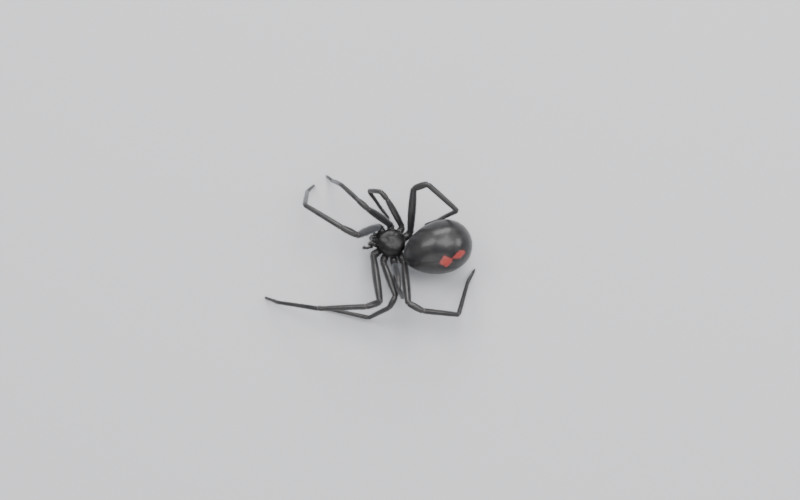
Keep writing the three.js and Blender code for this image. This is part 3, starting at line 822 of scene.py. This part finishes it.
spinneret_finish = cuticle("spinneret", dark=(0.014, 0.010, 0.009), light=(0.036, 0.025, 0.021),
                           roughness=0.45, relief=2.0, coat=0.0)
spinneret_foot = Vector(on_abdomen(PLACE_OF_SPINNERETS, math.pi).tolist())
spin_out = (spinneret_foot - Vector(abdomen_centre.tolist())).normalized()
spin_across = spin_out.cross(UP).normalized()
spin_along = spin_across.cross(spin_out)


def turned(name, root, axis, profile, size, around):
    """A round part of the spinneret cluster, from its profile in millimetres."""
    scaled = [(distance * size * MM, radius * size * MM) for distance, radius in profile]
    return lathe(name, root, axis, scaled, spinneret_finish, around)


spinnerets = [turned("spinneret_collar", spinneret_foot, spin_out, COLLAR_PROFILE, 1, 48)]
for a, b, size in SPINNERETS:
    apart = spin_across * a + spin_along * b
    root = spinneret_foot + spin_out * 0.12 * MM + apart * SPINNERET_SPREAD * MM
    lean = (spin_out - apart * SPINNERET_LEAN).normalized()
    spinnerets.append(turned("spinneret", root, lean, SPINNERET_PROFILE, size, 28))
tubercle_root = spinneret_foot + spin_out * 0.1 * MM - spin_along * 0.44 * MM
spinnerets.append(turned("tubercle", tubercle_root, spin_out - spin_along * 0.4, TUBERCLE_PROFILE, 1, 24))
spinneret_cluster = dress(joined("spinneret_cluster", spinnerets), "underside", "spinnerets")


# The eight legs are jointed tubes of glossy black cuticle: coxa, femur, patella, tibia,
# metatarsus and tarsus. Thin brown skin shows at each joint, where the tube narrows. Girths are
# in millimetres, for each pair of legs from the front, and bows say how far each part is arched.
LEG_PARTS = ("coxa", "femur", "patella", "tibia", "metatarsus", "tarsus")
LEG_GIRTHS = {
    1: (0.49, 0.43, 0.37, 0.31, 0.25, 0.21),
    2: (0.47, 0.40, 0.34, 0.28, 0.24, 0.20),
    3: (0.45, 0.37, 0.32, 0.27, 0.23, 0.20),
    4: (0.49, 0.43, 0.37, 0.31, 0.25, 0.21),
}
LEG_SHAPES = (
    lambda t: 0.66 + 0.5 * t - 0.16 * t * t,
    lambda t: 0.72 + 1.1 * t * (1 - t) + 0.02 * t,
    lambda t: 0.84 + 0.55 * t * (1 - t) - 0.02 * t,
    lambda t: 0.92 + 0.3 * t * (1 - t) - 0.16 * t,
    lambda t: 1 - 0.22 * t,
    lambda t: 1 - 0.42 * t,
)
LEG_BOWS = (0.0, 0.12, 0.05, 0.06, 0.08, 0.03)
ROOT_TUCK = 0.30 * MM
FINE_STEP = 0.02 * MM
CORNER_EASE = 0.20 * MM
JOINT_BLEND = 0.5 * MM
# Round each joint: a cup before it, a fold of skin and a bead after it, as share, place and width.
JOINT_FORMS = ((0.06, -0.13, 0.10), (-0.17, 0.05, 0.055), (0.035, 0.21, 0.07))
SOFT_SKIN = 0.05 * MM
HIP_RING_BACK = 0.30 * MM
HIP_RING_DEPTH = 0.09
HIP_RING_WIDTH = 0.045 * MM
TOE_ROUNDING = 0.1 * MM
LONG_STEP = 0.11 * MM
JOINT_STEP = 0.028 * MM
JOINT_REACH = 0.42 * MM
TOE_STEP = 0.025 * MM
TOE_REACH = 0.2 * MM
AROUND_LEG = 28


def leg_joints(leg):
    """The seven joints of a leg, from its root to its toe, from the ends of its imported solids."""
    ends = [busiest_corners(f"leg_{leg}_{part}") for part in LEG_PARTS]
    places = []
    for near, far in zip(ends, ends[1:]):
        gaps = np.linalg.norm(near[:, None] - far[None], axis=2)
        i, j = np.unravel_index(gaps.argmin(), gaps.shape)
        places.append((near[i] + far[j]) / 2)
    root = ends[0][np.argmax(np.linalg.norm(ends[0] - places[0], axis=1))]
    toe = ends[-1][np.argmax(np.linalg.norm(ends[-1] - places[-1], axis=1))]
    return [root, *places, toe]


def leg_line(joints, girths):
    """A fine line down a leg with eased corners, its girth, and the part that each point is on."""
    points, girth, part_of = [], [], []
    for k, (start, end) in enumerate(zip(joints, joints[1:])):
        length = np.linalg.norm(end - start)
        axis = (end - start) / length
        across = np.cross(axis, (0, 0, 1))
        across /= np.linalg.norm(across)
        rise = np.cross(across, axis)
        t = np.arange(0, 1, FINE_STEP / length)
        points.append(start + t[:, None] * (end - start)
                      + rise * (LEG_BOWS[k] * MM * 4 * t * (1 - t))[:, None])
        girth.append(girths[k] * MM * LEG_SHAPES[k](t))
        part_of.append(np.full(len(t), k))
    points, girth, part_of = np.concatenate(points), np.concatenate(girth), np.concatenate(part_of)
    reach = int(4 * CORNER_EASE / FINE_STEP)
    weights = np.exp(-0.5 * (np.arange(-reach, reach + 1) * FINE_STEP / CORNER_EASE) ** 2)
    weights /= weights.sum()
    head = points[0] + (points[0] - points[1]) * np.arange(reach, 0, -1)[:, None]
    tail = points[-1] + (points[-1] - points[-2]) * np.arange(1, reach + 1)[:, None]
    long_line = np.concatenate([head, points, tail])
    eased = np.stack([np.convolve(long_line[:, axis], weights, "valid") for axis in range(3)], axis=1)
    return eased, girth, part_of


def jointed_girth(distance, girth, part_of):
    """A leg's girth with its joints and its rounded toe, and how much soft skin shows along it."""
    soft = np.zeros_like(distance)
    for k in range(1, len(LEG_PARTS)):
        before, after = girth[part_of == k - 1][-1], girth[part_of == k][0]
        gap = distance - distance[np.argmax(part_of == k)]
        near = np.clip(1 - np.abs(gap) / JOINT_BLEND, 0, 1)
        near = near ** 2 * (3 - 2 * near)
        girth = girth * (1 - near) + (before + after) / 2 * near
        form = 1
        for share, place, width in JOINT_FORMS:
            form = form + share * bell(gap - place * MM, width * MM)
        girth = girth * form
        soft = np.maximum(soft, bell(gap - SOFT_SKIN, SOFT_SKIN))
    ring_at = distance[np.argmax(part_of == 1)] - HIP_RING_BACK
    girth = girth * (1 - HIP_RING_DEPTH * bell(distance - ring_at, HIP_RING_WIDTH))
    girth = girth * np.sqrt(np.clip((distance[-1] - distance) / TOE_ROUNDING, 0.15, 1))
    return girth, soft


def ring_places(distance, part_of):
    """The points of a leg's line that get a ring: close together at the joints and the toe."""
    steps = np.full(len(distance), LONG_STEP)
    for k in range(1, len(LEG_PARTS)):
        gap = np.abs(distance - distance[np.argmax(part_of == k)])
        steps = np.minimum(steps, np.where(gap < JOINT_REACH, JOINT_STEP, 1))
    steps = np.minimum(steps, np.where(distance[-1] - distance < TOE_REACH, TOE_STEP, 1))
    wanted, reached = [0], 0.0
    while True:
        reached += steps[wanted[-1]]
        following = int(np.searchsorted(distance, reached))
        if following >= len(distance) - 1:
            return [*wanted, len(distance) - 1]
        if following > wanted[-1]:
            wanted.append(following)
        reached = distance[wanted[-1]]


legs, feet = {}, {}
for leg in (side + str(rank) for side in "lr" for rank in (1, 2, 3, 4)):
    joints = leg_joints(leg)
    inward = joints[0] - joints[1]
    joints[0] = joints[0] + inward / np.linalg.norm(inward) * ROOT_TUCK
    feet[leg] = (Vector(joints[-2].tolist()), Vector(joints[-1].tolist()))
    line, girth, part_of = leg_line(joints, LEG_GIRTHS[int(leg[1])])
    distance = np.concatenate([[0], np.cumsum(np.linalg.norm(np.diff(line, axis=0), axis=1))])
    girth, soft = jointed_girth(distance, girth, part_of)
    wanted = ring_places(distance, part_of)
    beyond_root = np.clip((distance[wanted] / MM - 0.5) * 2, 0, 1)
    legs[leg] = limb("leg_skin_" + leg, line[wanted], girth[wanted], leg_finish, AROUND_LEG,
                     {"joint": soft[wanted] * SKIN_SHOWS, "furred": beyond_root * (1 - soft[wanted])},
                     lowest=0.0)
    dress(legs[leg], "legs", *(f"leg_{leg}_{part}" for part in LEG_PARTS))


# Each foot ends in two slender curved claws of red-brown horn with a smaller one between them.
# Both rear feet also carry a comb: one row of stout curved bristles under the last joint.
CLAW_LENGTH = 0.00017
CLAW_RADIUS = 0.000024
CLAW_CURVE = ((-0.25, -0.05), (0.35, 0.14), (0.78, -0.02), (1.0, -0.42))
CLAWS = ((-0.045, 1.0), (0.045, 1.0), (0.0, 0.6))
CLAW_RINGS = 14
AROUND_CLAW = 8
COMB_BRISTLES = 9
COMB_START = 0.28
COMB_SHARE = 0.62
COMB_DEPTH = 0.10
COMB_RADIUS = 0.013
COMB_RINGS = 9
AROUND_COMB = 6
COMB_CLEAR = 0.001 * MM


def claw(root, forward, aside, size):
    """A small tapering hook from its root: it rises, runs forward and turns down, clear of the floor."""
    length, radius = CLAW_LENGTH * size, CLAW_RADIUS * size
    side_of = forward.cross(UP).normalized()
    route = []
    for run, rise in CLAW_CURVE:
        place = root + forward * length * run + side_of * aside * (1 + max(run, 0)) + UP * length * rise
        place.z = max(place.z, radius * 0.5)
        route.append(place)
    girth = radius * (1 - 0.9 * np.linspace(0, 1, CLAW_RINGS) ** 1.4)
    return limb("claw", curve_through(route, CLAW_RINGS), girth, claw_finish, AROUND_CLAW)


claw_finish = cuticle("claw", dark=(0.020, 0.006, 0.004), light=(0.070, 0.022, 0.012),
                      roughness=0.18, relief=0.1, coat=0.5)
comb_girth = COMB_RADIUS * MM * (1 - 0.85 * np.linspace(0, 1, COMB_RINGS) ** 1.2)
claws, combs = [], []
for leg, (ankle, toe) in feet.items():
    forward = toe - ankle
    forward.z *= 0.3
    forward.normalize()
    for aside, size in CLAWS:
        claws.append(claw(toe, forward, aside * MM, size))
    if leg[1] != "4":
        continue
    along_foot = toe - ankle
    under = (along_foot.cross(along_foot.cross(UP))).normalized()
    for k in range(COMB_BRISTLES):
        share = COMB_START + COMB_SHARE * k / (COMB_BRISTLES - 1)
        root = ankle + along_foot * share + under * COMB_DEPTH * MM
        comb_line = curve_through([root, root + (under * 0.5 + forward * 0.6) * 0.09 * MM,
                                   root + (under * 0.55 + forward * 1.5) * 0.12 * MM], COMB_RINGS)
        combs.append(limb("comb", comb_line, comb_girth, claw_finish, AROUND_COMB, lowest=COMB_CLEAR))
dress(joined("tarsal_claws", claws), "claws")
dress(joined("foot_combs", combs), "claws")


# Fine dark bristles clothe the legs, palps, jaws and abdomen, and more thinly the shield. Each is a
# stiff tapering hair that stands in its own socket and leans towards the tip of the limb.
# A coat is its spacing, length and thickness in millimetres, and its lift and scatter.
BRISTLE_SIDES = 3
BRISTLE_STEPS = 3
BRISTLE_BEND = 0.12
BRISTLE_ROOT = -0.06
SHORTEST = 0.6
LONGEST = 1.2
CLEAR_OF_FLOOR = 0.000002
PATCH = 0.003
PLACES_SEED = 7
SCATTER_SEED = 11
LENGTH_SEED = 5
LEG_COAT = (0.085, 0.21, 0.010, 0.42, 0.16)
SPINE_COAT = (0.46, 0.40, 0.014, 1.4, 0.25)
PALP_COAT = (0.085, 0.20, 0.010, 0.55, 0.2)
JAW_COAT = (0.17, 0.20, 0.009, 0.6, 0.2)
ABDOMEN_COAT = (0.15, 0.20, 0.009, 0.40, 0.18)
CARAPACE_COAT = (0.22, 0.15, 0.008, 0.5, 0.2)
SPINNERET_COAT = (0.09, 0.16, 0.008, 0.7, 0.25)

bristle_finish = cuticle("bristle", dark=(0.012, 0.010, 0.009), light=(0.055, 0.045, 0.038),
                         roughness=0.42, relief=0.0, coat=0.0)


def bristle_nodes():
    """The node tree that plants bristles on a skin, each with its own small patch on the skin's map."""
    tree = bpy.data.node_groups.new("bristles", "GeometryNodeTree")
    tree.is_modifier = True
    tree.interface.new_socket("Geometry", in_out="INPUT", socket_type="NodeSocketGeometry")
    for label in ("Spacing", "Length", "Thickness", "Lift", "Scatter", "Bend"):
        tree.interface.new_socket(label, in_out="INPUT", socket_type="NodeSocketFloat")
    tree.interface.new_socket("Finish", in_out="INPUT", socket_type="NodeSocketMaterial")
    tree.interface.new_socket("Geometry", in_out="OUTPUT", socket_type="NodeSocketGeometry")

    def number(operation, first, second):
        return add_node(tree, "ShaderNodeMath", {0: first, 1: second}, operation=operation).outputs[0]

    def vector(operation, first, second):
        socket = "Scale" if operation == "SCALE" else 1
        node = add_node(tree, "ShaderNodeVectorMath", {0: first, socket: second}, operation=operation)
        return node.outputs[0]

    def carried(name, kind):
        node = add_node(tree, "GeometryNodeInputNamedAttribute", {"Name": name}, data_type=kind)
        return node.outputs["Attribute"]

    def stored(name, geometry, value):
        node = add_node(tree, "GeometryNodeStoreNamedAttribute", {
            "Geometry": geometry, "Name": name, "Value": value}, data_type="FLOAT2", domain="CORNER")
        return node.outputs["Geometry"]

    given = add_node(tree, "NodeGroupInput").outputs
    square = number("MULTIPLY", given["Spacing"], given["Spacing"])
    points = add_node(tree, "GeometryNodeDistributePointsOnFaces", distribute_method="POISSON", sockets={
        "Mesh": given["Geometry"], "Distance Min": given["Spacing"],
        "Density Max": number("DIVIDE", 3.0, square), "Density Factor": carried("furred", "FLOAT"),
        "Seed": PLACES_SEED})
    normal = points.outputs["Normal"]

    stray = add_node(tree, "FunctionNodeRandomValue", data_type="FLOAT_VECTOR", sockets={
        0: (-1, -1, -1), 1: (1, 1, 1), "Seed": SCATTER_SEED})
    lean = vector("ADD", carried("lie", "FLOAT_VECTOR"), vector("SCALE", normal, given["Lift"]))
    lean = vector("ADD", lean, vector("SCALE", stray.outputs[0], given["Scatter"]))
    upright = add_node(tree, "FunctionNodeAlignRotationToVector", {"Vector": lean}, axis="Z")
    facing = add_node(tree, "FunctionNodeAlignRotationToVector", {
        "Rotation": upright.outputs["Rotation"], "Vector": normal}, axis="X", pivot_axis="Z")

    uneven = add_node(tree, "FunctionNodeRandomValue", data_type="FLOAT", sockets={
        2: SHORTEST, 3: LONGEST, "Seed": LENGTH_SEED})
    size = add_node(tree, "ShaderNodeCombineXYZ", {
        "X": given["Thickness"], "Y": given["Thickness"],
        "Z": number("MULTIPLY", given["Length"], uneven.outputs[1])})

    cone = add_node(tree, "GeometryNodeMeshCone", fill_type="NGON", sockets={
        "Vertices": BRISTLE_SIDES, "Side Segments": BRISTLE_STEPS,
        "Radius Top": 0.0, "Radius Bottom": 1.0, "Depth": 1.0})
    hair = stored("patch", cone.outputs["Mesh"], cone.outputs["UV Map"])
    place = add_node(tree, "GeometryNodeInputPosition").outputs["Position"]
    spot = add_node(tree, "ShaderNodeSeparateXYZ", {"Vector": place}).outputs
    slender = number("DIVIDE", given["Length"], given["Thickness"])
    bow = number("MULTIPLY", number("MULTIPLY", spot["Z"], spot["Z"]),
                 number("MULTIPLY", slender, given["Bend"]))
    shift = add_node(tree, "ShaderNodeCombineXYZ", {"X": number("MULTIPLY", bow, -1.0), "Z": BRISTLE_ROOT})
    bent = add_node(tree, "GeometryNodeSetPosition", {
        "Geometry": hair, "Offset": shift.outputs["Vector"]})

    planted = add_node(tree, "GeometryNodeInstanceOnPoints", {
        "Points": points.outputs["Points"], "Instance": bent.outputs["Geometry"],
        "Rotation": facing.outputs["Rotation"], "Scale": size.outputs["Vector"]})
    realised = add_node(tree, "GeometryNodeRealizeInstances", {"Geometry": planted.outputs["Instances"]})
    lifted = add_node(tree, "ShaderNodeCombineXYZ", {
        "X": spot["X"], "Y": spot["Y"], "Z": number("MAXIMUM", spot["Z"], CLEAR_OF_FLOOR)})
    clear = add_node(tree, "GeometryNodeSetPosition", {
        "Geometry": realised.outputs["Geometry"], "Position": lifted.outputs["Vector"]})
    centred = add_node(tree, "ShaderNodeVectorMath", operation="MULTIPLY_ADD", sockets={
        0: carried("patch", "FLOAT_VECTOR"), 1: (PATCH, PATCH, 0), 2: carried("unwrap", "FLOAT_VECTOR")})
    mapped = stored("OFBake", clear.outputs["Geometry"], centred.outputs["Vector"])
    smooth = add_node(tree, "GeometryNodeSetShadeSmooth", {"Geometry": mapped})
    finished = add_node(tree, "GeometryNodeSetMaterial", {
        "Geometry": smooth.outputs["Geometry"], "Material": given["Finish"]})
    add_node(tree, "NodeGroupOutput", {"Geometry": finished.outputs["Geometry"]})
    return tree


bristle_tree = bristle_nodes()


def plant(piece, name, coat):
    """Grows a coat of bristles on a piece, as one plain mesh of their own."""
    growth = bpy.data.objects.new(name, piece.data.copy())
    bpy.context.collection.objects.link(growth)
    modifier = growth.modifiers.new("bristles", "NODES")
    modifier.node_group = bristle_tree
    sockets = {item.name: item.identifier for item in bristle_tree.interface.items_tree
               if item.in_out == "INPUT"}
    spacing, length, thickness, lift, scatter = coat
    for label, value in (("Spacing", spacing * MM), ("Length", length * MM), ("Thickness", thickness * MM),
                         ("Lift", lift), ("Scatter", scatter), ("Bend", BRISTLE_BEND),
                         ("Finish", bristle_finish)):
        modifier[sockets[label]] = value
    depsgraph = bpy.context.evaluated_depsgraph_get()
    grown = bpy.data.meshes.new_from_object(growth.evaluated_get(depsgraph), preserve_all_data_layers=True,
                                            depsgraph=depsgraph)
    growth.modifiers.remove(modifier)
    growth.data = grown
    grown.name = name
    for leftover in ("lie", "furred", "joint", "mark", "unwrap", "patch"):
        if leftover in grown.attributes:
            grown.attributes.remove(grown.attributes[leftover])
    dress(growth, "hairs")


for leg, leg_skin in legs.items():
    plant(leg_skin, "leg_bristles_" + leg, LEG_COAT)
    plant(leg_skin, "leg_spines_" + leg, SPINE_COAT)
for side in "lr":
    plant(palps[side], "palp_bristles_" + side, PALP_COAT)
    plant(jaws[side], "jaw_bristles_" + side, JAW_COAT)
plant(abdomen, "abdomen_bristles", ABDOMEN_COAT)
plant(carapace, "carapace_bristles", CARAPACE_COAT)
plant(spinneret_cluster, "spinneret_bristles", SPINNERET_COAT)
